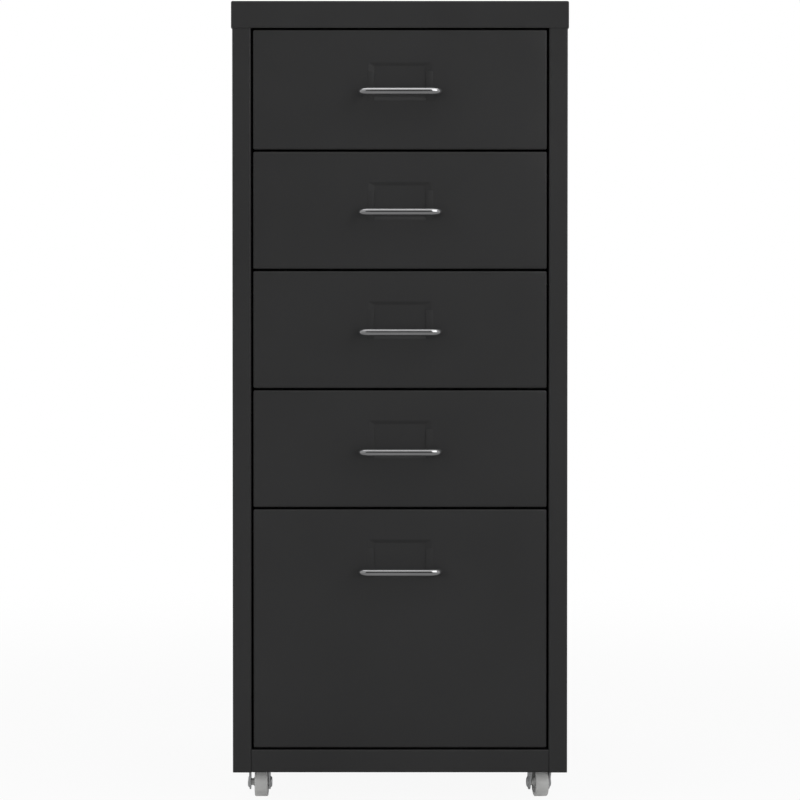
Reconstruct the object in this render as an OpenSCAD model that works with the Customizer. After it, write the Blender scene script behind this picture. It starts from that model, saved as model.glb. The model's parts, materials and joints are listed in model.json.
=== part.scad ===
// Tall chest of drawers on casters, folded from sheet steel.
// Four shallow drawers over one deep drawer, each with a bent wire handle and a stamped label
// holder. Millimetres. +Z is up, the drawers open towards -Y, and the origin lies on the floor
// under the middle of the whole object.

/* [Overall size] */
// Width over the top panel
cabinet_w = 286; // [240:1:400]
// Depth over the top panel, without the handles
cabinet_d = 410; // [330:1:550]
// Height from the floor to the top
cabinet_h = 684; // [560:1:900]

/* [Sheet metal] */
// Thickness of the carcass sheet
sheet_t = 0.7; // [0.5:0.1:1.2]
// Thickness of the drawer sheet
drawer_t = 0.6; // [0.5:0.1:1]
// Outside radius of the bends
bend_r = 1.6; // [1.4:0.1:2.5]
// Gap between carcass sheets that lap over each other
lap = 0.1; // [0.05:0.05:0.3]

/* [Carcass] */
// Height of the top panel's apron
cap_h = 22.8; // [16:0.1:35]
// Height of the rail under the lowest drawer
base_rail_h = 19.6; // [15:0.1:30]
// Width of the side panels' front flanges
front_flange_w = 16; // [14:0.1:25]
// Depth of the return behind each front flange
return_d = 12; // [8:1:20]
// Width of the side panels' rear flanges
rear_flange_w = 18; // [12:1:30]
// Depth of the stiffening field pressed into the back panel
back_press = 1.5; // [0.8:0.1:3]

/* [Drawers] */
// Height of the shallow drawer fronts
small_front_h = 99.5; // [80:0.1:110]
// How much taller the top front is than the other shallow ones
top_front_extra = 1.9; // [0:0.1:8]
// Gap above, below and between the fronts
front_gap = 1.6; // [1:0.1:4]
// Gap beside the fronts
side_gap = 1.6; // [1:0.1:4]
// Depth of the folded edge round each front
front_edge_d = 12; // [8:1:18]
// How far a drawer pulls out
travel = 275; // [150:5:280]
// Space between a drawer's rear wall and the back panel
rear_space = 19; // [10:1:60]
// Drop from the top of a front to the top of its drawer's side walls
side_wall_drop = 12; // [10:1:20]

/* [Handles] */
// Distance between the two posts of a handle
handle_pitch = 66; // [50:1:96]
// Diameter of the handle wire
wire_d = 6; // [5:0.5:8]
// Distance from a front to the middle of the handle's bar
handle_standoff = 25; // [20:1:35]
// Centreline radius of the handle's corners
handle_corner_r = 7.5; // [6:0.5:10]
// Distance from the top of a front down to its handle
handle_drop = 51.7; // [40:0.1:56]

/* [Label holders] */
// Width of the field pressed into each front
label_w = 54.4; // [44:0.1:56]
// Height of the field
label_h = 32.2; // [22:0.1:36]
// Depth of the field
label_press = 1.3; // [0.8:0.1:1.3]
// Width of the slopes at the field's two sides
label_side_slope = 6.2; // [3:0.1:8]
// Width of the slopes at the field's top and bottom
label_end_slope = 3.2; // [1.5:0.1:6]
// Distance from the handle down to the lower edge of the field
label_drop = 6.2; // [5:0.1:10]
// Width of the lips that cover the side slopes and hold a card
label_lip_w = 5.2; // [3:0.1:7]
// Height of the lips
label_lip_h = 24.8; // [12:0.1:26]

/* [Casters] */
// Diameter of a wheel
wheel_d = 25; // [20:1:38]
// Width of a wheel's tread
wheel_w = 11.5; // [8:0.5:13]
// Distance from the swivel axis back to the axle
trail = 9; // [6:0.5:11]
// Distance from the side of the top panel in to the swivel axis
caster_inset_x = 21.5; // [20.5:0.5:40]
// Distance from the front and back of the top panel in to the swivel axes
caster_inset_y = 46; // [44:1:90]

/* [Hidden] */
$fn = 64;
eps = 0.01;

// Colours
coat = "#323232";
chrome = "#c9cbcc";
zinc = "#9a9c9e";
grey_plastic = "#9b9b99";
nylon = "#e4e2da";
black_zinc = "#262626";

// Fasteners
screw_d = 4;
screw_head_d = 7;
screw_head_h = 1.2;
back_screw_l = 6;
base_screw_l = 6;
thread_clearance = 0.05;
hole_clearance = 0.15;

// Casters, from the floor up
wheel_headroom = 3.1;
kingpin_head_h = 1.2;
fork_t = 1.2;
ball_d = 2.5;
ball_clearance = 0.1;
caster_plate_t = 1.5;
wheel_r = wheel_d / 2;
fork_top_z = wheel_d + wheel_headroom + kingpin_head_h + fork_t;
caster_h = fork_top_z + ball_d + 2 * ball_clearance + caster_plate_t;
caster_rail_h = 13.2;
caster_rail_w = 46;
caster_rail_t = 1;
caster_rail_lip = 8;

// Levels
base_top_z = caster_h + caster_rail_h + sheet_t;
base_z = base_top_z - base_rail_h;
cap_z = cabinet_h - cap_h;
side_top_z = cabinet_h - bend_r - lap;

// Front to back. The body's middle is set back so that the handles and screw heads balance.
handle_reach = handle_standoff + wire_d / 2 - sheet_t - lap;
cap_front_y = handle_reach - (cabinet_d + handle_reach + screw_head_h) / 2;
cap_rear_y = cap_front_y + cabinet_d;
face_y = cap_front_y + sheet_t + lap;
return_end_y = face_y + return_d;
back_y = cap_rear_y - sheet_t - lap;
side_rear_y = back_y - sheet_t - lap;

// Side to side
side_x = cabinet_w / 2 - sheet_t - lap;
web_x = side_x - sheet_t;
opening_x = side_x - front_flange_w;
front_w = 2 * (opening_x - side_gap);

// Drawer fronts, top to bottom
drawer_count = 5;
opening_h = cap_z - base_top_z;
top_front_h = small_front_h + top_front_extra;
deep_front_h = opening_h - (drawer_count + 1) * front_gap - top_front_h - 3 * small_front_h;
front_h = [top_front_h, small_front_h, small_front_h, small_front_h, deep_front_h];
function sum_to(list, n) = n < 0 ? 0 : list[n] + sum_to(list, n - 1);
function front_top(i) = cap_z - (i + 1) * front_gap - sum_to(front_h, i - 1);
function front_bottom(i) = front_top(i) - front_h[i];
function handle_z(i) = front_top(i) - handle_drop - (i == 0 ? top_front_extra : 0);

// Runners and the folded rail along each drawer's side, which rides in them
runner_t = 0.8;
slide_gap = 0.3;
rail_h = 7.4;
runner_inner_h = rail_h + 2 * slide_gap;
runner_play = 0.8;
rail_x = front_w / 2 - drawer_t - 0.4;
box_x = rail_x - 11.2;
shelf_x = box_x + runner_play;
upper_shelf_cut = 2;
runner_front_y = return_end_y + 1.2;
runner_rear_y = back_y - back_screw_l - 2;
function rail_top(i) = front_top(i) - side_wall_drop;
function runner_floor(i) = rail_top(i) - rail_h - slide_gap;

// Drawer boxes
front_cavity = 2;
box_front_y = face_y + drawer_t + front_cavity;
box_rear_y = side_rear_y - rear_space;
box_lift = 2;
box_bend_r = 1.2;
floor_fold_h = 3;
function box_bottom(i) = front_bottom(i) + box_lift;
function floor_z(i) = box_bottom(i) + floor_fold_h;

// Stops
stop_len = 22;
stop_reach = 16.5;
stop_stud_d = 4;
stop_head_d = 6;
stop_head_t = 1.2;
stop_front_y = return_end_y + slide_gap + travel;

// ---------- shared shapes ----------

// A strip of sheet of thickness t along right-angled folds; points are on its middle line.
function unit(v) = v / norm(v);
module folded_strip(points, t, r = bend_r) {
    mid_r = r - t / 2;
    last = len(points) - 1;
    for (i = [0:last - 1]) {
        along = unit(points[i + 1] - points[i]);
        across = [-along[1], along[0]] * t / 2;
        from = points[i] + along * (i == 0 ? 0 : mid_r);
        to = points[i + 1] - along * (i + 1 == last ? 0 : mid_r);
        polygon([from - across, to - across, to + across, from + across]);
    }
    for (i = [1:last - 1]) {
        a = unit(points[i - 1] - points[i]) * mid_r;
        b = unit(points[i + 1] - points[i]) * mid_r;
        centre = points[i] + a + b;
        k = (mid_r + t) / mid_r;
        intersection() {
            translate(centre) difference() {
                circle(r);
                circle(r - t);
            }
            polygon([centre, centre - a * k, centre - (a + b) * k, centre - b * k]);
        }
    }
}

// A rectangle from y = 0 to y = d, centred on x, with its two corners at y = 0 rounded.
module soft_rectangle(w, d, r) {
    translate([-w / 2, r]) square([w, d - r]);
    translate([r - w / 2, 0]) square([w - 2 * r, d]);
    for (side = [-1, 1])
        translate([side * (w / 2 - r), r]) circle(r);
}

// A block w wide in x, h high in z and d deep in y, whose face at y = 0 has rounded edges.
module soft_block(w, h, d, r) {
    intersection() {
        translate([0, 0, -h / 2]) linear_extrude(h) soft_rectangle(w, d, r);
        translate([-w / 2, 0, 0]) rotate([90, 0, 90]) linear_extrude(w)
            rotate(-90) soft_rectangle(h, d, r);
    }
}

// An open pan: a sheet face at y = 0 with its four edges folded back to depth d.
module pan(w, h, d, t, r) {
    difference() {
        soft_block(w, h, d, r);
        translate([0, t, 0]) soft_block(w - 2 * t, h - 2 * t, d, r - t);
    }
}

// A trapezium w wide at y = 0 that narrows by slope on each side by y = depth, and keeps that
// narrowing on beyond both levels.
module trapezium(w, slope, depth, over) {
    k = slope / depth;
    polygon([[-w / 2 - over * k, -over], [w / 2 + over * k, -over],
             [w / 2 - slope, depth], [slope - w / 2, depth]]);
}

// The block that fills a field pressed back by depth from a face at y = 0. Its four sides slope.
module pressed_block(w, h, depth, side_slope, end_slope, over) {
    intersection() {
        translate([0, 0, -h]) linear_extrude(2 * h) trapezium(w, side_slope, depth, over);
        translate([-w, 0, 0]) rotate([90, 0, 90]) linear_extrude(2 * w)
            rotate(-90) trapezium(h, end_slope, depth, over);
    }
}

// A pan-head screw with a cross recess. Its head sits on z = 0 and its shank runs down.
module pan_screw(len, d = screw_d, head_d = screw_head_d, head_h = screw_head_h) {
    edge = head_h * 0.45;
    recess_l = head_d * 0.5;
    recess_w = head_d * 0.13;
    difference() {
        union() {
            cylinder(h = head_h - edge, d = head_d);
            translate([0, 0, head_h - edge])
                cylinder(h = edge, d1 = head_d, d2 = head_d - 3 * edge);
            translate([0, 0, -len]) cylinder(h = len, d = d);
        }
        for (turn = [0, 90])
            rotate(turn) translate([-recess_l / 2, -recess_w / 2, head_h * 0.35])
                cube([recess_l, recess_w, head_h]);
    }
}

// ---------- carcass ----------

cap_lip_d = 9;
seam_w = 0.35;

// Places of the screws that hold the carcass together
back_screw_x = side_x - rear_flange_w / 2;
back_screw_z = [for (k = [0:3]) base_z + 45 + k * (cap_z - base_z - 75) / 3];
top_screw_x = [-0.35, 0, 0.35] * cabinet_w;
base_screw_inset = caster_inset_y + caster_rail_w / 2 + 8;
base_screw_y = [for (k = [0:2])
    cap_front_y + base_screw_inset + k * (cabinet_d - 2 * base_screw_inset) / 2];
base_screw_z = (base_z + base_top_z - sheet_t) / 2;

module top_panel() color(coat) {
    difference() {
        translate([0, (cap_front_y + cap_rear_y) / 2, cabinet_h]) rotate([-90, 0, 0])
            pan(cabinet_w, cabinet_d, cap_h, sheet_t, bend_r);
        // the folds' open corner seams
        for (sx = [-1, 1]) for (end_y = [cap_front_y + sheet_t, cap_rear_y - sheet_t - seam_w])
            translate([sx * cabinet_w / 2 - bend_r, end_y, cap_z - 1])
                cube([2 * bend_r, seam_w, cap_h - bend_r + 1]);
        for (x = top_screw_x)
            translate([x, cap_rear_y - 2 * sheet_t, cap_z + cap_h / 2]) rotate([-90, 0, 0])
                cylinder(h = 4 * sheet_t, d = screw_d + 2 * hole_clearance);
    }
    // stiffening lip under the front apron
    translate([-opening_x + 2 * lap, cap_front_y + sheet_t / 2, cap_z])
        cube([2 * (opening_x - 2 * lap), cap_lip_d, sheet_t]);
}

// The section of the left side panel, looking down
module side_section() {
    m = sheet_t / 2;
    folded_strip([
        [-opening_x - m, return_end_y],
        [-opening_x - m, face_y + m],
        [-side_x + m, face_y + m],
        [-side_x + m, side_rear_y - m],
        [-side_x + rear_flange_w, side_rear_y - m]
    ], sheet_t);
}

module left_side_panel() color(coat)
    difference() {
        translate([0, 0, base_z]) linear_extrude(side_top_z - base_z) side_section();
        for (y = base_screw_y)
            translate([-side_x - 1, y, base_screw_z]) rotate([0, 90, 0])
                cylinder(h = 2 + sheet_t, d = screw_d + 2 * hole_clearance);
        for (z = back_screw_z)
            translate([-back_screw_x, side_rear_y - 2 * sheet_t, z]) rotate([-90, 0, 0])
                cylinder(h = 4 * sheet_t, d = screw_d + 2 * thread_clearance);
    }

module right_side_panel() mirror([1, 0, 0]) left_side_panel();

back_margin = 42;
back_w = 2 * side_x;
back_top_z = side_top_z;
field_w = back_w - 2 * back_margin;
field_h = back_top_z - base_z - 2 * back_margin;
field_slope = 4;
press_over = 0.3;

module back_panel() color(coat)
    difference() {
        union() {
            translate([-back_w / 2, back_y - sheet_t, base_z])
                cube([back_w, sheet_t, back_top_z - base_z]);
            translate([0, back_y - sheet_t, (back_top_z + base_z) / 2]) rotate(180)
                pressed_block(field_w, field_h, back_press, field_slope, field_slope, 0);
        }
        translate([0, back_y, (back_top_z + base_z) / 2]) rotate(180)
            pressed_block(field_w, field_h, back_press, field_slope, field_slope, press_over);
        for (sx = [-1, 1]) for (z = back_screw_z)
            translate([sx * back_screw_x, back_y - 2 * sheet_t, z]) rotate([-90, 0, 0])
                cylinder(h = 4 * sheet_t, d = screw_d + 2 * hole_clearance);
        for (x = top_screw_x)
            translate([x, back_y - 2 * sheet_t, cap_z + cap_h / 2]) rotate([-90, 0, 0])
                cylinder(h = 4 * sheet_t, d = screw_d + 2 * thread_clearance);
    }

base_x = web_x - lap;
base_front_y = return_end_y + 0.8;
base_rear_y = side_rear_y - bend_r - lap;
base_lip_d = 10;
base_tongue_x = opening_x - 2 * lap;
caster_rail_x = base_x - bend_r - lap;

module bottom_panel() color(coat)
    difference() {
        union() {
            difference() {
                translate([0, (base_front_y + base_rear_y) / 2, base_top_z]) rotate([-90, 0, 0])
                    pan(2 * base_x, base_rear_y - base_front_y, base_rail_h, sheet_t, bend_r);
                // the pan is open to the front rail between the side panels' returns
                translate([-base_tongue_x, base_front_y - 1, base_z - 1])
                    cube([2 * base_tongue_x, bend_r + 1, base_rail_h - sheet_t + 1]);
                translate([-base_tongue_x, base_front_y - 1, base_top_z - bend_r])
                    cube([2 * base_tongue_x, bend_r + 1, 2 * bend_r]);
            }
            // front rail, folded down and back under itself
            translate([-base_tongue_x, 0, 0]) rotate([90, 0, 90]) linear_extrude(2 * base_tongue_x)
                folded_strip([
                    [face_y + base_lip_d, base_z + sheet_t / 2],
                    [face_y + sheet_t / 2, base_z + sheet_t / 2],
                    [face_y + sheet_t / 2, base_top_z - sheet_t / 2],
                    [base_front_y + bend_r, base_top_z - sheet_t / 2]
                ], sheet_t);
        }
        for (sx = [-1, 1]) for (y = base_screw_y)
            translate([sx * (base_x + 1), y, base_screw_z]) rotate([0, -sx * 90, 0])
                cylinder(h = 2 + sheet_t, d = screw_d + 2 * thread_clearance);
    }

module back_panel_screws() color(black_zinc)
    for (sx = [-1, 1]) for (z = back_screw_z)
        translate([sx * back_screw_x, back_y, z]) rotate([-90, 0, 0]) pan_screw(back_screw_l);

module top_panel_screws() color(black_zinc)
    for (x = top_screw_x)
        translate([x, cap_rear_y, cap_z + cap_h / 2]) rotate([-90, 0, 0]) pan_screw(back_screw_l);

module base_screws() color(black_zinc)
    for (sx = [-1, 1]) for (y = base_screw_y)
        translate([sx * side_x, y, base_screw_z]) rotate([0, sx * 90, 0]) pan_screw(base_screw_l);

// ---------- runners ----------

module left_runners() color(zinc)
    for (i = [0:drawer_count - 1]) {
        low = runner_floor(i) - runner_t / 2;
        high = runner_floor(i) + runner_inner_h + runner_t / 2;
        back = -web_x + runner_t / 2;
        translate([0, runner_rear_y, 0]) rotate([90, 0, 0])
            linear_extrude(runner_rear_y - runner_front_y)
                folded_strip([
                    [-shelf_x, low], [back, low], [back, high], [-shelf_x - upper_shelf_cut, high]
                ], runner_t, box_bend_r);
    }

module right_runners() mirror([1, 0, 0]) left_runners();

// ---------- drawers ----------

label_mid = label_h / 2 - label_drop;
lip_t = 0.5;
lip_rise = 0.1;

module drawer_front(i) color(coat) {
    mid_z = (front_top(i) + front_bottom(i)) / 2;
    label_z = handle_z(i) + label_mid;
    difference() {
        union() {
            translate([0, face_y, mid_z]) pan(front_w, front_h[i], front_edge_d, drawer_t, bend_r);
            translate([0, face_y + drawer_t, label_z])
                pressed_block(label_w, label_h, label_press, label_side_slope, label_end_slope, 0);
        }
        translate([0, face_y, label_z]) pressed_block(label_w, label_h, label_press,
                                                      label_side_slope, label_end_slope, press_over);
        for (sx = [-1, 1])
            translate([sx * handle_pitch / 2, face_y - 1, handle_z(i)]) rotate([-90, 0, 0])
                cylinder(h = 2 + drawer_t, d = screw_d + 2 * hole_clearance);
    }
    // the two lips that hold a card's edges
    for (sx = [-1, 1]) {
        outer = label_w / 2 + 0.8;
        inner = label_w / 2 - label_lip_w;
        translate([sx > 0 ? inner : -outer, face_y - lip_rise, handle_z(i) - label_drop])
            cube([outer - inner, lip_t, label_lip_h]);
    }
}

// One side of a drawer's box, with the rail rolled over at its top.
module drawer_side(i) {
    m = drawer_t / 2;
    top = rail_top(i) - m;
    difference() {
        translate([0, box_rear_y, 0]) rotate([90, 0, 0]) linear_extrude(box_rear_y - box_front_y)
            folded_strip([
                [-rail_x + m, rail_top(i) - rail_h], [-rail_x + m, top],
                [-box_x + m, top], [-box_x + m, box_bottom(i)]
            ], drawer_t, box_bend_r);
        translate([-rail_x - 1, stop_front_y + stop_len / 2, rail_top(i) - rail_h / 2])
            rotate([0, 90, 0]) cylinder(h = 2 + drawer_t, d = stop_stud_d + 2 * thread_clearance);
    }
}

// Five sheets, spot-welded edge to edge: two sides, a floor whose edges fold down, two end walls.
module drawer_box(i) color(coat) {
    inner_x = box_x - drawer_t - lap;
    drawer_side(i);
    mirror([1, 0, 0]) drawer_side(i);
    translate([0, (box_front_y + box_rear_y) / 2, floor_z(i)]) rotate([-90, 0, 0])
        pan(2 * inner_x, box_rear_y - box_front_y - 2 * (drawer_t + lap), floor_fold_h,
            drawer_t, box_bend_r);
    difference() {
        for (y = [box_front_y, box_rear_y - drawer_t])
            translate([-inner_x, y, box_bottom(i)])
                cube([2 * inner_x, drawer_t, rail_top(i) - box_bend_r - box_bottom(i)]);
        for (sx = [-1, 1])
            translate([sx * handle_pitch / 2, box_front_y - 1, handle_z(i)]) rotate([-90, 0, 0])
                cylinder(h = 2 + drawer_t, d = screw_d + 2 * hole_clearance);
    }
}

module drawer_handle(i) color(chrome) {
    arm = handle_standoff - handle_corner_r;
    bar = handle_pitch - 2 * handle_corner_r;
    bore_l = 9;
    translate([0, face_y, handle_z(i)]) difference() {
        union() {
            for (sx = [-1, 1]) {
                translate([sx * handle_pitch / 2, 0, 0]) rotate([90, 0, 0])
                    cylinder(h = arm, d = wire_d);
                translate([sx * bar / 2, -arm, 0]) rotate([0, 0, sx > 0 ? -90 : 180])
                    rotate_extrude(angle = 90) translate([handle_corner_r, 0]) circle(d = wire_d);
            }
            translate([-bar / 2, -handle_standoff, 0]) rotate([0, 90, 0])
                cylinder(h = bar, d = wire_d);
        }
        for (sx = [-1, 1])
            translate([sx * handle_pitch / 2, 1, 0]) rotate([90, 0, 0])
                cylinder(h = bore_l + 1, d = screw_d - 0.6);
    }
}

module drawer_handle_screws(i) color(zinc)
    for (sx = [-1, 1])
        translate([sx * handle_pitch / 2, box_front_y + drawer_t, handle_z(i)])
            rotate([-90, 0, 0]) pan_screw(10, d = screw_d - 0.6 - 2 * thread_clearance);

module drawer_stops(i) color(nylon)
    for (sx = [-1, 1]) {
        height = rail_h - 0.2;
        translate([sx > 0 ? rail_x : -rail_x - stop_reach, stop_front_y, rail_top(i) - rail_h + 0.1])
            cube([stop_reach, stop_len, height]);
        translate([sx * rail_x, stop_front_y + stop_len / 2, rail_top(i) - rail_h / 2])
            rotate([0, -sx * 90, 0]) {
                cylinder(h = drawer_t + eps, d = stop_stud_d);
                translate([0, 0, drawer_t]) cylinder(h = stop_head_t, d = stop_head_d);
            }
    }

// ---------- casters ----------

caster_x = cabinet_w / 2 - caster_inset_x;
caster_places = [
    ["front_left", -caster_x, cap_front_y + caster_inset_y, 0],
    ["front_right", caster_x, cap_front_y + caster_inset_y, 7],
    ["rear_left", -caster_x, cap_rear_y - caster_inset_y, -5],
    ["rear_right", caster_x, cap_rear_y - caster_inset_y, 4]
];
plate_w = 36;
plate_d = 34;
plate_hole_x = 13.5;
plate_hole_y = 12.5;
kingpin_d = 5;
kingpin_head_d = 9;
race_r = 8;
ball_count = 12;
fork_disc_r = 12;
fork_clearance = 2.05;
leg_x = wheel_w / 2 + fork_clearance;
leg_end_r = 6.5;
wheel_shift = 1.4;
axle_d = 4;
axle_head_d = 9.5;
axle_head_h = 1.5;
bearing_clearance = 0.05;
hub_d = 6;
hub_flare_d = 9;
hub_flare_l = 1.4;
wheel_end_gap = 0.3;

module caster_rail(y) color(zinc)
    difference() {
        translate([-caster_rail_x, y, 0]) rotate([90, 0, 90])
            linear_extrude(2 * caster_rail_x) {
                m = caster_rail_t / 2;
                w = caster_rail_w / 2;
                top = caster_h + caster_rail_h - m;
                low = caster_h + m;
                folded_strip([
                    [-w - caster_rail_lip, top], [-w + m, top], [-w + m, low],
                    [w - m, low], [w - m, top], [w + caster_rail_lip, top]
                ], caster_rail_t);
            }
        for (sx = [-1, 1]) for (px = [-1, 1]) for (py = [-1, 1])
            translate([sx * caster_x + px * plate_hole_x, y + py * plate_hole_y, caster_h - 1])
                cylinder(h = 2 + caster_rail_t, d = screw_d + 2 * thread_clearance);
    }

module caster_plate(place) color(zinc)
    translate([place[1], place[2], caster_h - caster_plate_t]) difference() {
        translate([-plate_w / 2, -plate_d / 2, 0]) cube([plate_w, plate_d, caster_plate_t]);
        for (px = [-1, 1]) for (py = [-1, 1])
            translate([px * plate_hole_x, py * plate_hole_y, -1])
                cylinder(h = 2 + caster_plate_t, d = screw_d + 2 * hole_clearance);
        translate([0, 0, -1]) cylinder(h = 2 + caster_plate_t, d = kingpin_d);
        translate([0, 0, caster_plate_t / 2]) cylinder(h = caster_plate_t, d = kingpin_head_d);
    }

module caster_screws() color(zinc)
    for (place = caster_places) for (px = [-1, 1]) for (py = [-1, 1])
        translate([place[1] + px * plate_hole_x, place[2] + py * plate_hole_y,
                   caster_h - caster_plate_t])
            rotate([180, 0, 0]) pan_screw(6);

module caster_kingpins() color(zinc)
    for (place = caster_places) translate([place[1], place[2], 0]) {
        bottom = fork_top_z - fork_t - kingpin_head_h;
        translate([0, 0, bottom]) cylinder(h = caster_h - bottom, d = kingpin_d);
        translate([0, 0, bottom]) cylinder(h = kingpin_head_h - ball_clearance, d = kingpin_head_d);
        translate([0, 0, caster_h - caster_plate_t / 2])
            cylinder(h = caster_plate_t / 2, d = kingpin_head_d);
    }

module caster_bearing_balls() color(chrome)
    for (place = caster_places) translate([place[1], place[2], fork_top_z + ball_clearance + ball_d / 2])
        for (k = [0:ball_count - 1])
            rotate(k * 360 / ball_count) translate([race_r, 0, 0]) sphere(d = ball_d);

// The outline of a fork leg, seen from the side: y along, z up.
module leg_outline() {
    top = fork_top_z - fork_t;
    polygon([[-fork_disc_r * 0.8, top + fork_t], [fork_disc_r, top + fork_t],
             [trail + leg_end_r, wheel_r], [trail - leg_end_r, wheel_r]]);
    translate([trail, wheel_r]) circle(leg_end_r);
}

module caster_fork(place) color(zinc)
    translate([place[1], place[2], 0]) rotate(place[3]) difference() {
        union() {
            translate([0, 0, fork_top_z - fork_t]) cylinder(h = fork_t, r = fork_disc_r);
            for (sx = [-1, 1])
                translate([sx > 0 ? leg_x : -leg_x - fork_t, 0, 0]) rotate([90, 0, 90])
                    linear_extrude(fork_t) leg_outline();
            translate([-leg_x, -fork_disc_r * 0.8, fork_top_z - fork_t])
                cube([2 * leg_x, fork_disc_r * 1.6, fork_t]);
        }
        translate([0, 0, fork_top_z - 2 * fork_t])
            cylinder(h = 3 * fork_t, d = kingpin_d + 2 * bearing_clearance);
        translate([-leg_x - 2 * fork_t, trail, wheel_r]) rotate([0, 90, 0])
            cylinder(h = 2 * leg_x + 4 * fork_t, d = axle_d);
    }

module caster_axle(place) color(zinc)
    translate([place[1], place[2], 0]) rotate(place[3]) translate([0, trail, wheel_r])
        for (sx = [-1, 1]) rotate([0, sx * 90, 0]) {
            reach = leg_x + fork_t;
            cylinder(h = reach + eps, d = axle_d);
            translate([0, 0, reach]) cylinder(h = axle_head_h / 2, d = axle_head_d);
            translate([0, 0, reach + axle_head_h / 2])
                cylinder(h = axle_head_h / 2, d1 = axle_head_d, d2 = axle_head_d - 2.4);
        }

module caster_wheel(place) color(grey_plastic) {
    shoulder = 1.2;
    half = wheel_w / 2;
    dish = 1;
    rim_t = 3.2;
    left_hub = leg_x - wheel_end_gap + wheel_shift;
    right_hub = leg_x - wheel_end_gap - wheel_shift;
    translate([place[1], place[2], 0]) rotate(place[3])
        translate([wheel_shift, trail, wheel_r]) rotate([0, 90, 0]) difference() {
            union() {
                rotate_extrude() {
                    translate([0, -half + shoulder]) square([wheel_r, wheel_w - 2 * shoulder]);
                    translate([0, -half]) square([wheel_r - shoulder, wheel_w]);
                    for (end = [-1, 1])
                        translate([wheel_r - shoulder, end * (half - shoulder)]) circle(shoulder);
                }
            }
            for (end = [-1, 1])
                translate([0, 0, end > 0 ? half - dish : -half - 1]) difference() {
                    cylinder(h = dish + 1, r = wheel_r - rim_t);
                    translate([0, 0, -1]) cylinder(h = dish + 3, d = hub_d);
                }
            translate([0, 0, -half - 1])
                cylinder(h = wheel_w + 2, d = axle_d + 2 * bearing_clearance);
        }
    // hub sleeves that hold the wheel off the fork's legs
    translate([place[1], place[2], 0]) rotate(place[3])
        translate([wheel_shift, trail, wheel_r]) rotate([0, 90, 0]) difference() {
            union() {
                translate([0, 0, -left_hub]) cylinder(h = left_hub + right_hub, d = hub_d);
                translate([0, 0, -half - hub_flare_l])
                    cylinder(h = hub_flare_l, d1 = hub_d, d2 = hub_flare_d);
                translate([0, 0, -half]) cylinder(h = dish + eps, d = hub_flare_d);
            }
            translate([0, 0, -left_hub - 1])
                cylinder(h = left_hub + right_hub + 2, d = axle_d + 2 * bearing_clearance);
        }
}

// ---------- nodes ----------

top_panel();
left_side_panel();
right_side_panel();
back_panel();
bottom_panel();
caster_rail(cap_front_y + caster_inset_y);  // front_caster_rail
caster_rail(cap_rear_y - caster_inset_y);  // rear_caster_rail
left_runners();
right_runners();
back_panel_screws();
top_panel_screws();
base_screws();
caster_screws();
caster_kingpins();
caster_bearing_balls();
for (i = [0:drawer_count - 1]) {
    name = str("drawer_", i + 1, "_");
    drawer_front(i);
    drawer_box(i);
    drawer_handle(i);
    drawer_handle_screws(i);
    drawer_stops(i);
}
for (place = caster_places) {
    name = str("caster_", place[0], "_");
    caster_plate(place);
    caster_fork(place);
    caster_axle(place);
    caster_wheel(place);
}
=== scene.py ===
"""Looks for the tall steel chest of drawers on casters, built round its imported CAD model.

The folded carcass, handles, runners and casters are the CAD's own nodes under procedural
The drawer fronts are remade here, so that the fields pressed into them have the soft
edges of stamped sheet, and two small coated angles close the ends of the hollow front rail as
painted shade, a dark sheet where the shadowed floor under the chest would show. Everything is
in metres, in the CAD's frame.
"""

import json
import math

import bmesh
import bpy
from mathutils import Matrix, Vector


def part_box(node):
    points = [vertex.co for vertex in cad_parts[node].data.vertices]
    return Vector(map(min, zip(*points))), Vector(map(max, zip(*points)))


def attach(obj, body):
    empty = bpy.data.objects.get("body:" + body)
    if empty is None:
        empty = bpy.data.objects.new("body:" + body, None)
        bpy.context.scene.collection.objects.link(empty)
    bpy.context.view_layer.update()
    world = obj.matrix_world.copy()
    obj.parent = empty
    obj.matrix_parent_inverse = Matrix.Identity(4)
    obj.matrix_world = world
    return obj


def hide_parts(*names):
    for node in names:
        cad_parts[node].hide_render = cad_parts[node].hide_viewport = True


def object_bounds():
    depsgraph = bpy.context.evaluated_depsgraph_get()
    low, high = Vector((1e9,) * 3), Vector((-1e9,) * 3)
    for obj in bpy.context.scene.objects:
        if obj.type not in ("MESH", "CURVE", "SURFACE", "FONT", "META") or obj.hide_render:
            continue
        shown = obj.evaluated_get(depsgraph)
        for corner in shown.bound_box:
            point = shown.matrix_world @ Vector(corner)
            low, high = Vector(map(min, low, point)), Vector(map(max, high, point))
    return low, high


MM = 0.001

# ---------- sizes ----------

DRAWERS = 5
SIDES = ((-1, "left"), (1, "right"))

# a drawer front: its sheet, its outside bend and how far its edges fold back
FRONT_SHEET = 0.6 * MM
FRONT_BEND = 1.6 * MM
FRONT_EDGE_DEPTH = 12 * MM

# the field pressed into a front, and how far its lower edge lies below the handle's bar
LABEL_W = 54.4 * MM
LABEL_H = 32.2 * MM
LABEL_DEPTH = 1.25 * MM
LABEL_SIDE_SLOPE = 6.2 * MM
LABEL_END_SLOPE = 3.2 * MM
LABEL_DROP = 6.2 * MM
LABEL_MARGIN = 3 * MM

# the lips that hold a card in the field
LIP_OVERLAP = 0.8 * MM
LIP_W = 5.2 * MM
LIP_H = 24.8 * MM
LIP_T = 0.45 * MM
LIP_RISE = 0.1 * MM

# the hollow front rail, and the flange of the angle at each end of it
RAIL_SHEET = 0.7 * MM
RAIL_HALF_W = 126.8 * MM
RAIL_DEPTH = 12.7 * MM
RAIL_FLANGE = 8 * MM
RAIL_SEAT = 0.05 * MM

# ---------- node helpers ----------


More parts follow.
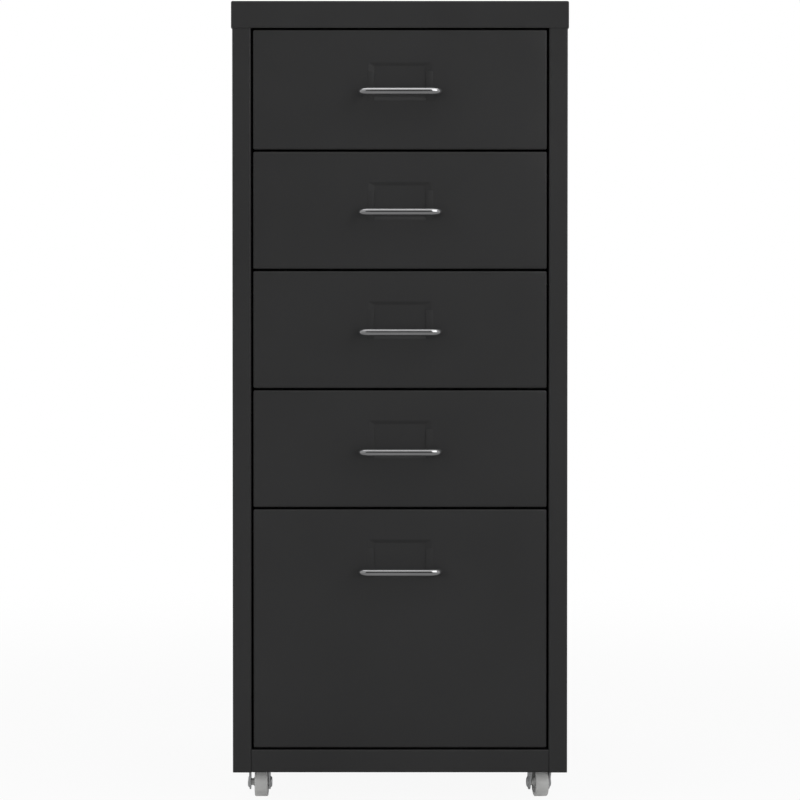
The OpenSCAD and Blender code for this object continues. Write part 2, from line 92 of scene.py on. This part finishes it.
def new_material(name):
    """A material, with its node tree and its Principled shader."""
    material = bpy.data.materials.new(name)
    material.use_nodes = True
    shader = material.node_tree.nodes["Principled BSDF"]
    return material, material.node_tree, shader


def add_node(tree, kind, **inputs):
    """A node of that kind with those inputs set; underscores in a name stand for spaces."""
    node = tree.nodes.new(kind)
    for name, value in inputs.items():
        node.inputs[name.replace("_", " ")].default_value = value
    return node


def object_coordinates(tree, stretch=(1, 1, 1)):
    """The object's own coordinates, stretched along each axis."""
    coordinates = tree.nodes.new("ShaderNodeTexCoord")
    mapping = tree.nodes.new("ShaderNodeMapping")
    mapping.inputs["Scale"].default_value = stretch
    tree.links.new(coordinates.outputs["Object"], mapping.inputs["Vector"])
    return mapping.outputs["Vector"]


def noise(tree, vector, scale, detail=2.0, roughness=0.5):
    """Noise between 0 and 1 whose features are about 1 / scale metres across."""
    node = add_node(tree, "ShaderNodeTexNoise", Scale=scale, Detail=detail, Roughness=roughness)
    tree.links.new(vector, node.inputs["Vector"])
    return node.outputs["Fac"]


def spread(tree, value, low, high):
    """The middle of a noise's range, stretched to run from low to high."""
    node = add_node(tree, "ShaderNodeMapRange", From_Min=0.3, From_Max=0.7, To_Min=low, To_Max=high)
    tree.links.new(value, node.inputs["Value"])
    return node.outputs["Result"]


def between(tree, factor, first, second):
    """A colour between two others."""
    node = tree.nodes.new("ShaderNodeMix")
    node.data_type = "RGBA"
    colours = [socket for socket in node.inputs if socket.type == "RGBA"]
    colours[0].default_value = (*first, 1)
    colours[1].default_value = (*second, 1)
    tree.links.new(factor, node.inputs["Factor"])
    return next(socket for socket in node.outputs if socket.type == "RGBA")


def add_bump(tree, shader, heights):
    """Bump from (height, distance in metres) pairs, one over the other."""
    normal = None
    for height, distance in heights:
        node = add_node(tree, "ShaderNodeBump", Strength=1.0, Distance=distance)
        tree.links.new(height, node.inputs["Height"])
        if normal is not None:
            tree.links.new(normal, node.inputs["Normal"])
        normal = node.outputs["Normal"]
    tree.links.new(normal, shader.inputs["Normal"])


# ---------- finishes ----------


def powder_coat(name, colour, roughness):
    """Satin powder coat: an even colour, fine orange peel and a slow drift in gloss."""
    material, tree, shader = new_material(name)
    shader.inputs["Specular IOR Level"].default_value = 0.5
    vector = object_coordinates(tree)
    dark = [c * 0.96 for c in colour]
    pale = [c * 1.07 for c in colour]
    drift = spread(tree, noise(tree, vector, 9, 3), 0, 1)
    tree.links.new(between(tree, drift, dark, pale), shader.inputs["Base Color"])
    gloss = spread(tree, noise(tree, vector, 45, 4, 0.6), roughness - 0.03, roughness + 0.03)
    tree.links.new(gloss, shader.inputs["Roughness"])
    peel = noise(tree, vector, 520, 1)
    grit = noise(tree, vector, 2400, 2)
    add_bump(tree, shader, [(peel, 0.014 * MM), (grit, 0.006 * MM)])
    return material


def chrome_plate(name):
    """Bright chrome on drawn wire, with faint draw marks and haze."""
    material, tree, shader = new_material(name)
    vector = object_coordinates(tree, (0.2, 1, 1))
    shader.inputs["Metallic"].default_value = 1
    haze = spread(tree, noise(tree, vector, 160, 4, 0.6), 0, 1)
    tree.links.new(between(tree, haze, (0.74, 0.74, 0.75), (0.82, 0.82, 0.83)),
                   shader.inputs["Base Color"])
    tree.links.new(spread(tree, haze, 0.09, 0.15), shader.inputs["Roughness"])
    add_bump(tree, shader, [(noise(tree, vector, 900, 2), 0.002 * MM)])
    return material


def zinc_plate(name, colour):
    """Bright zinc on rolled steel: fine rolling marks and a cloudy tone."""
    material, tree, shader = new_material(name)
    vector = object_coordinates(tree)
    grain_vector = object_coordinates(tree, (1, 0.06, 1))
    shader.inputs["Metallic"].default_value = 0.7
    cloud = spread(tree, noise(tree, vector, 70, 5, 0.6), 0, 1)
    dark = [c * 0.82 for c in colour]
    tree.links.new(between(tree, cloud, dark, colour), shader.inputs["Base Color"])
    grain = noise(tree, grain_vector, 1500, 3)
    tree.links.new(spread(tree, grain, 0.3, 0.42), shader.inputs["Roughness"])
    add_bump(tree, shader, [(grain, 0.004 * MM)])
    return material


def moulded_plastic(name, colour, roughness):
    """Moulded plastic with a spark-eroded texture and scuffs of slightly different gloss."""
    material, tree, shader = new_material(name)
    vector = object_coordinates(tree)
    cloud = spread(tree, noise(tree, vector, 120, 4), 0, 1)
    dark = [c * 0.9 for c in colour]
    tree.links.new(between(tree, cloud, dark, colour), shader.inputs["Base Color"])
    scuff = noise(tree, vector, 500, 5, 0.7)
    tree.links.new(spread(tree, scuff, roughness - 0.08, roughness + 0.08),
                   shader.inputs["Roughness"])
    add_bump(tree, shader, [(noise(tree, vector, 3000, 2), 0.01 * MM), (scuff, 0.006 * MM)])
    return material


COAT = powder_coat("anthracite_powder_coat", (0.0193, 0.0193, 0.0196), 0.44)
FINISHES = {
    "body_paint": COAT,
    "handle_chrome": chrome_plate("bright_chrome"),
    "zinc_steel": zinc_plate("zinc_plate", (0.8, 0.81, 0.82)),
    "caster_plastic": moulded_plastic("grey_wheel_plastic", (0.6, 0.6, 0.59), 0.48),
    "stop_plastic": moulded_plastic("natural_nylon", (0.72, 0.71, 0.66), 0.42),
    "black_screws": powder_coat("black_zinc_plate", (0.02, 0.02, 0.021), 0.36),
}

# ---------- mesh helpers ----------


def mesh_object(name, bm, material):
    """An object made from a bmesh, with smooth faces and one material."""
    mesh = bpy.data.meshes.new(name)
    bm.to_mesh(mesh)
    bm.free()
    mesh.materials.append(material)
    for face in mesh.polygons:
        face.use_smooth = True
    made = bpy.data.objects.new(name, mesh)
    bpy.context.scene.collection.objects.link(made)
    return made


def apply_modifiers(made):
    """Turns an object's modifiers into its mesh."""
    graph = bpy.context.evaluated_depsgraph_get()
    mesh = bpy.data.meshes.new_from_object(made.evaluated_get(graph))
    made.modifiers.clear()
    made.data = mesh


def soften_edges(made, width, segments):
    """Rounds every edge of an object and applies that."""
    edge = made.modifiers.new("edge", "BEVEL")
    edge.width = width
    edge.segments = segments
    apply_modifiers(made)


def steps(start, end, size):
    """Evenly spaced numbers from start up to, but not including, end, about size apart."""
    count = max(1, round((end - start) / size))
    return [start + (end - start) * k / count for k in range(count)]


def smooth_ramp(t):
    """0 up to t = 0, 1 from t = 1, and a straight slope with soft ends between."""
    soft = 0.16
    t = min(max(t, 0), 1)
    if t < soft:
        return t * t / (2 * soft * (1 - soft))
    if t > 1 - soft:
        return 1 - (1 - t) ** 2 / (2 * soft * (1 - soft))
    return (t - soft / 2) / (1 - soft)


def soft_min(a, b, k=0.12):
    """The smaller of two numbers, rounded where they are nearly equal."""
    h = max(k - abs(a - b), 0) / k
    return min(a, b) - h * h * k / 4


# ---------- drawer fronts ----------


def label_depth(x, z):
    """How far the pressed field lies behind the front at (x, z), measured from its centre."""
    side = (LABEL_W / 2 - abs(x)) / LABEL_SIDE_SLOPE
    end = (LABEL_H / 2 - abs(z)) / LABEL_END_SLOPE
    return LABEL_DEPTH * smooth_ramp(soft_min(side, end))


def front_grid_lines(low, high, fine_low, fine_high):
    """Grid lines across a front: about 0.6 mm apart over the field and coarse elsewhere."""
    coarse, fine = 25 * MM, 0.6 * MM
    return [*steps(low, fine_low, coarse), *steps(fine_low, fine_high, fine),
            *steps(fine_high, high, coarse), high]


def drawer_front(name, low, high, face_y, handle_z):
    """A front folded from sheet, with the label field pressed into it."""
    label_z = handle_z - LABEL_DROP + LABEL_H / 2
    reach_x = LABEL_W / 2 + LABEL_MARGIN
    reach_z = LABEL_H / 2 + LABEL_MARGIN
    xs = front_grid_lines(low.x, high.x, -reach_x, reach_x)
    zs = front_grid_lines(low.z, high.z, label_z - reach_z, label_z + reach_z)
    bm = bmesh.new()
    rows = [[bm.verts.new((x, face_y + label_depth(x, z - label_z), z)) for x in xs] for z in zs]
    for row, above in zip(rows, rows[1:]):
        for k in range(len(xs) - 1):
            bm.faces.new((row[k], row[k + 1], above[k + 1], above[k]))
    rim = (rows[0] + [row[-1] for row in rows[1:-1]] + rows[-1][::-1]
           + [row[0] for row in rows[-2:0:-1]])
    back = [bm.verts.new((v.co.x, face_y + FRONT_EDGE_DEPTH, v.co.z)) for v in rim]
    for k in range(len(rim)):
        after = (k + 1) % len(rim)
        bm.faces.new((rim[after], rim[k], back[k], back[after]))
    bm.normal_update()
    made = mesh_object(name, bm, COAT)
    bend = made.modifiers.new("bend", "BEVEL")
    bend.width = FRONT_BEND
    bend.segments = 5
    bend.limit_method = "ANGLE"
    bend.angle_limit = math.radians(60)
    sheet = made.modifiers.new("sheet", "SOLIDIFY")
    sheet.thickness = FRONT_SHEET
    sheet.offset = -1
    apply_modifiers(made)
    return made


def card_lips(name, face_y, handle_z):
    """The two lips at the sides of the field, which hold a card's edges."""
    bm = bmesh.new()
    bottom = handle_z - LABEL_DROP
    for side in (-1, 1):
        outer = side * (LABEL_W / 2 + LIP_OVERLAP)
        inner = side * (LABEL_W / 2 - LIP_W)
        for v in bmesh.ops.create_cube(bm, size=1)["verts"]:
            v.co = Vector((
                outer if v.co.x > 0 else inner,
                face_y - LIP_RISE + (LIP_T if v.co.y > 0 else 0),
                bottom + (LIP_H if v.co.z > 0 else 0),
            ))
    bmesh.ops.recalc_face_normals(bm, faces=bm.faces)
    made = mesh_object(name, bm, COAT)
    soften_edges(made, 0.18 * MM, 3)
    return made


def make_fronts():
    """Remakes each drawer's front over its CAD node."""
    for n in range(1, DRAWERS + 1):
        node = f"drawer_{n}_front"
        low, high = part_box(node)
        face_y = low.y + LIP_RISE
        handle_low, handle_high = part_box(f"drawer_{n}_handle")
        handle_z = (handle_low.z + handle_high.z) / 2
        front = drawer_front(f"drawer_{n}_pressed_front", low, high, face_y, handle_z)
        lips = card_lips(f"drawer_{n}_card_lips", face_y, handle_z)
        for piece in (front, lips):
            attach(piece, f"drawer_{n}")
        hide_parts(node)


# ---------- base rail ----------


def rail_shade_angle(name, side, low, high):
    """A small coated angle that closes one end of the hollow front rail, behind its seam; its dark
    coat is painted shade where the shadowed floor under the chest would show.
    """
    bm = bmesh.new()
    inset = RAIL_SHEET + RAIL_SEAT
    front = low.y + inset
    back = low.y + RAIL_DEPTH
    arm_x = RAIL_HALF_W - RAIL_SHEET
    flange_x = RAIL_HALF_W - RAIL_FLANGE
    outline = (
        (RAIL_HALF_W, front), (RAIL_HALF_W, back), (arm_x, back),
        (arm_x, front + RAIL_SHEET), (flange_x, front + RAIL_SHEET), (flange_x, front),
    )
    foot = bm.faces.new([bm.verts.new((side * x, y, low.z + inset)) for x, y in outline])
    grown = bmesh.ops.extrude_face_region(bm, geom=[foot])["geom"]
    top = [item for item in grown if isinstance(item, bmesh.types.BMVert)]
    bmesh.ops.translate(bm, vec=(0, 0, high.z - low.z - 2 * inset), verts=top)
    bmesh.ops.recalc_face_normals(bm, faces=bm.faces)
    # the dark coat on this angle is painted shade where the hollow rail would show the shadowed
    # floor
    made = mesh_object(name, bm, COAT)
    soften_edges(made, 0.15 * MM, 2)
    return made


def make_rail_shade_angles():
    """Closes both ends of the front rail with dark angles, painted shade for the shadowed hollow
    under the chest.
    """
    low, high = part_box("bottom_panel")
    for side, name in SIDES:
        angle = rail_shade_angle(f"{name}_rail_end_shade_angle", side, low, high)
        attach(angle, "carcass")


# ---------- carried-over CAD nodes ----------

# the runners are welded to the side panels before the coat goes on, so it covers them
WELDED_IN = ("left_runners", "right_runners")


def finish_nodes(nodes, record):
    """Gives each CAD node the finish of its slot in the record, or the coat if it is welded in."""
    slots = {part["node"]: part["material_slot"] for part in record["subparts"]}
    for name, node in nodes.items():
        slot = "body_paint" if name in WELDED_IN else slots[name]
        node.data.materials.clear()
        node.data.materials.append(FINISHES[slot])


# ---------- stage, light and camera ----------

# the camera's place, and the width and middle height of what it frames at the object's front
CAMERA_DISTANCE = 2.5
CAMERA_HEIGHT = 0.43
CAMERA_SHIFT = -0.05
FRAME_WIDTH = 0.6782
FRAME_MIDDLE = 0.3461
SENSOR = 36
JUST_OVER_FLOOR = 0.004


def seen_directly(tree):
    """1 for camera, glossy and transmission rays, and 0 for the rest."""
    path = tree.nodes.new("ShaderNodeLightPath")
    total = path.outputs["Is Camera Ray"]
    for name in ("Is Glossy Ray", "Is Transmission Ray"):
        node = tree.nodes.new("ShaderNodeMath")
        node.operation = "MAXIMUM"
        tree.links.new(total, node.inputs[0])
        tree.links.new(path.outputs[name], node.inputs[1])
        total = node.outputs[0]
    return total


def light_world():
    """A white surround that lights the object softly."""
    world = bpy.data.worlds.new("studio")
    bpy.context.scene.world = world
    world.use_nodes = True
    tree = world.node_tree
    tree.nodes.clear()
    glow = add_node(tree, "ShaderNodeBackground", Color=(1, 1, 1, 1), Strength=0.42)
    white = add_node(tree, "ShaderNodeBackground", Color=(1, 1, 1, 1), Strength=1)
    mix = tree.nodes.new("ShaderNodeMixShader")
    out = tree.nodes.new("ShaderNodeOutputWorld")
    tree.links.new(seen_directly(tree), mix.inputs[0])
    tree.links.new(glow.outputs[0], mix.inputs[1])
    tree.links.new(white.outputs[0], mix.inputs[2])
    tree.links.new(mix.outputs[0], out.inputs[0])


def make_floor():
    """A pale floor that shows the object's shadow faintly and fades to white further out."""
    bm = bmesh.new()
    bmesh.ops.create_grid(bm, x_segments=1, y_segments=1, size=20)
    material = bpy.data.materials.new("pale_floor")
    material.use_nodes = True
    tree = material.node_tree
    tree.nodes.clear()
    matt = add_node(tree, "ShaderNodeBsdfDiffuse", Color=(0.8, 0.8, 0.8, 1))
    glow = add_node(tree, "ShaderNodeEmission", Color=(1, 1, 1, 1), Strength=1)
    length = tree.nodes.new("ShaderNodeVectorMath")
    length.operation = "LENGTH"
    tree.links.new(object_coordinates(tree), length.inputs[0])
    fade = add_node(tree, "ShaderNodeMapRange", From_Min=0.5, From_Max=1.8, To_Min=0.93, To_Max=1)
    fade.interpolation_type = "SMOOTHSTEP"
    tree.links.new(length.outputs["Value"], fade.inputs["Value"])
    share = tree.nodes.new("ShaderNodeMath")
    share.operation = "MULTIPLY"
    tree.links.new(fade.outputs["Result"], share.inputs[1])
    mix = tree.nodes.new("ShaderNodeMixShader")
    out = tree.nodes.new("ShaderNodeOutputMaterial")
    tree.links.new(seen_directly(tree), share.inputs[0])
    tree.links.new(share.outputs[0], mix.inputs[0])
    tree.links.new(matt.outputs[0], mix.inputs[1])
    tree.links.new(glow.outputs[0], mix.inputs[2])
    tree.links.new(mix.outputs[0], out.inputs[0])
    floor = mesh_object("floor", bm, material)


def reflector(name, brightness, width, height, place, aim):
    """A card that only reflections see."""
    bm = bmesh.new()
    bmesh.ops.create_grid(bm, x_segments=1, y_segments=1, size=0.5)
    material = bpy.data.materials.new(name)
    material.use_nodes = True
    tree = material.node_tree
    tree.nodes.clear()
    glow = add_node(tree, "ShaderNodeEmission", Color=(1, 1, 1, 1), Strength=brightness)
    out = tree.nodes.new("ShaderNodeOutputMaterial")
    tree.links.new(glow.outputs[0], out.inputs[0])
    card = mesh_object(name, bm, material)
    card.scale = (width, height, 1)
    card.location = place
    card.rotation_euler = (Vector(aim) - Vector(place)).to_track_quat("-Z", "Y").to_euler()
    card.visible_camera = False
    card.visible_diffuse = False
    card.visible_shadow = False
    card.visible_transmission = False


def area_light(name, place, aim, size, power, reflected=True):
    """A soft lamp, which reflections may be kept from seeing."""
    lamp = bpy.data.lights.new(name, "AREA")
    lamp.shape = "RECTANGLE"
    lamp.size, lamp.size_y = size
    lamp.energy = power
    made = bpy.data.objects.new(name, lamp)
    made.location = place
    made.rotation_euler = (Vector(aim) - Vector(place)).to_track_quat("-Z", "Y").to_euler()
    made.visible_camera = False
    made.visible_glossy = reflected
    bpy.context.scene.collection.objects.link(made)


def make_camera(front_y):
    """A long lens a little above the middle of the object, almost level."""
    data = bpy.data.cameras.new("camera")
    data.sensor_width = SENSOR
    data.lens = SENSOR * CAMERA_DISTANCE / FRAME_WIDTH
    data.shift_y = CAMERA_SHIFT
    data.clip_start, data.clip_end = 0.05, 60
    camera = bpy.data.objects.new("camera", data)
    camera.location = (0, front_y - CAMERA_DISTANCE, CAMERA_HEIGHT)
    aim_height = FRAME_MIDDLE - CAMERA_SHIFT * FRAME_WIDTH
    aim = Vector((0, front_y, aim_height)) - camera.location
    camera.rotation_euler = aim.to_track_quat("-Z", "Y").to_euler()
    bpy.context.scene.collection.objects.link(camera)
    bpy.context.scene.camera = camera


def make_studio(low, high, front_y):
    """Stage, lamps and camera."""
    middle = (low + high) / 2
    light_world()
    make_floor()
    make_camera(front_y)
    for side, name in SIDES:
        area_light(f"{name}_softbox", (side * 1.5, front_y - 1.5, 1.7), middle, (2, 2), 14,
                   reflected=side > 0)
    area_light("top_softbox", (0, middle.y, 2.6), middle, (4.2, 1.1), 8)
    low_aim = Vector((0, front_y, 0.15))
    area_light("low_fill", (0, front_y - 2.2, 0.45), low_aim, (2.4, 0.7), 18, reflected=False)
    reflector("dark_card", 0.04, 14, 3.8, (0, front_y - 4.2, 1.9), (0, front_y, 1.9))
    reflector("ceiling_card", 0.45, 12, 6.8, (0, front_y - 2, 4.4), (0, front_y - 2, 0))
    reflector("low_card", 0.2, 9, 4.6, (0, front_y - 1.9, JUST_OVER_FLOOR),
              (0, front_y - 1.9, 1))
    for side, name in SIDES:
        reflector(f"{name}_card", 0.3, 5.2, 4.4, (side * 3.4, front_y - 1.6, 2.2),
                  (0, front_y - 1.6, 2.2))


# ---------- all together ----------

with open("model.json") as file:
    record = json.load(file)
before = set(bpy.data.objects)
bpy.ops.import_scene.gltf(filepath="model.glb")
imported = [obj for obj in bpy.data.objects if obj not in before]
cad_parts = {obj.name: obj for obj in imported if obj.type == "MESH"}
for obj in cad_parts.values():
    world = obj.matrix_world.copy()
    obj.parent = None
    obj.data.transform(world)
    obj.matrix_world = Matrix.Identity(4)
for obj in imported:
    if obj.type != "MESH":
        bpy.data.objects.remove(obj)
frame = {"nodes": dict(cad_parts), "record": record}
cad_low, cad_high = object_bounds()
front_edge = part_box("top_panel")[0].y

finish_nodes(frame["nodes"], frame["record"])
make_fronts()
make_rail_shade_angles()
make_studio(cad_low, cad_high, front_edge)

bpy.context.scene.view_settings.view_transform = "Standard"
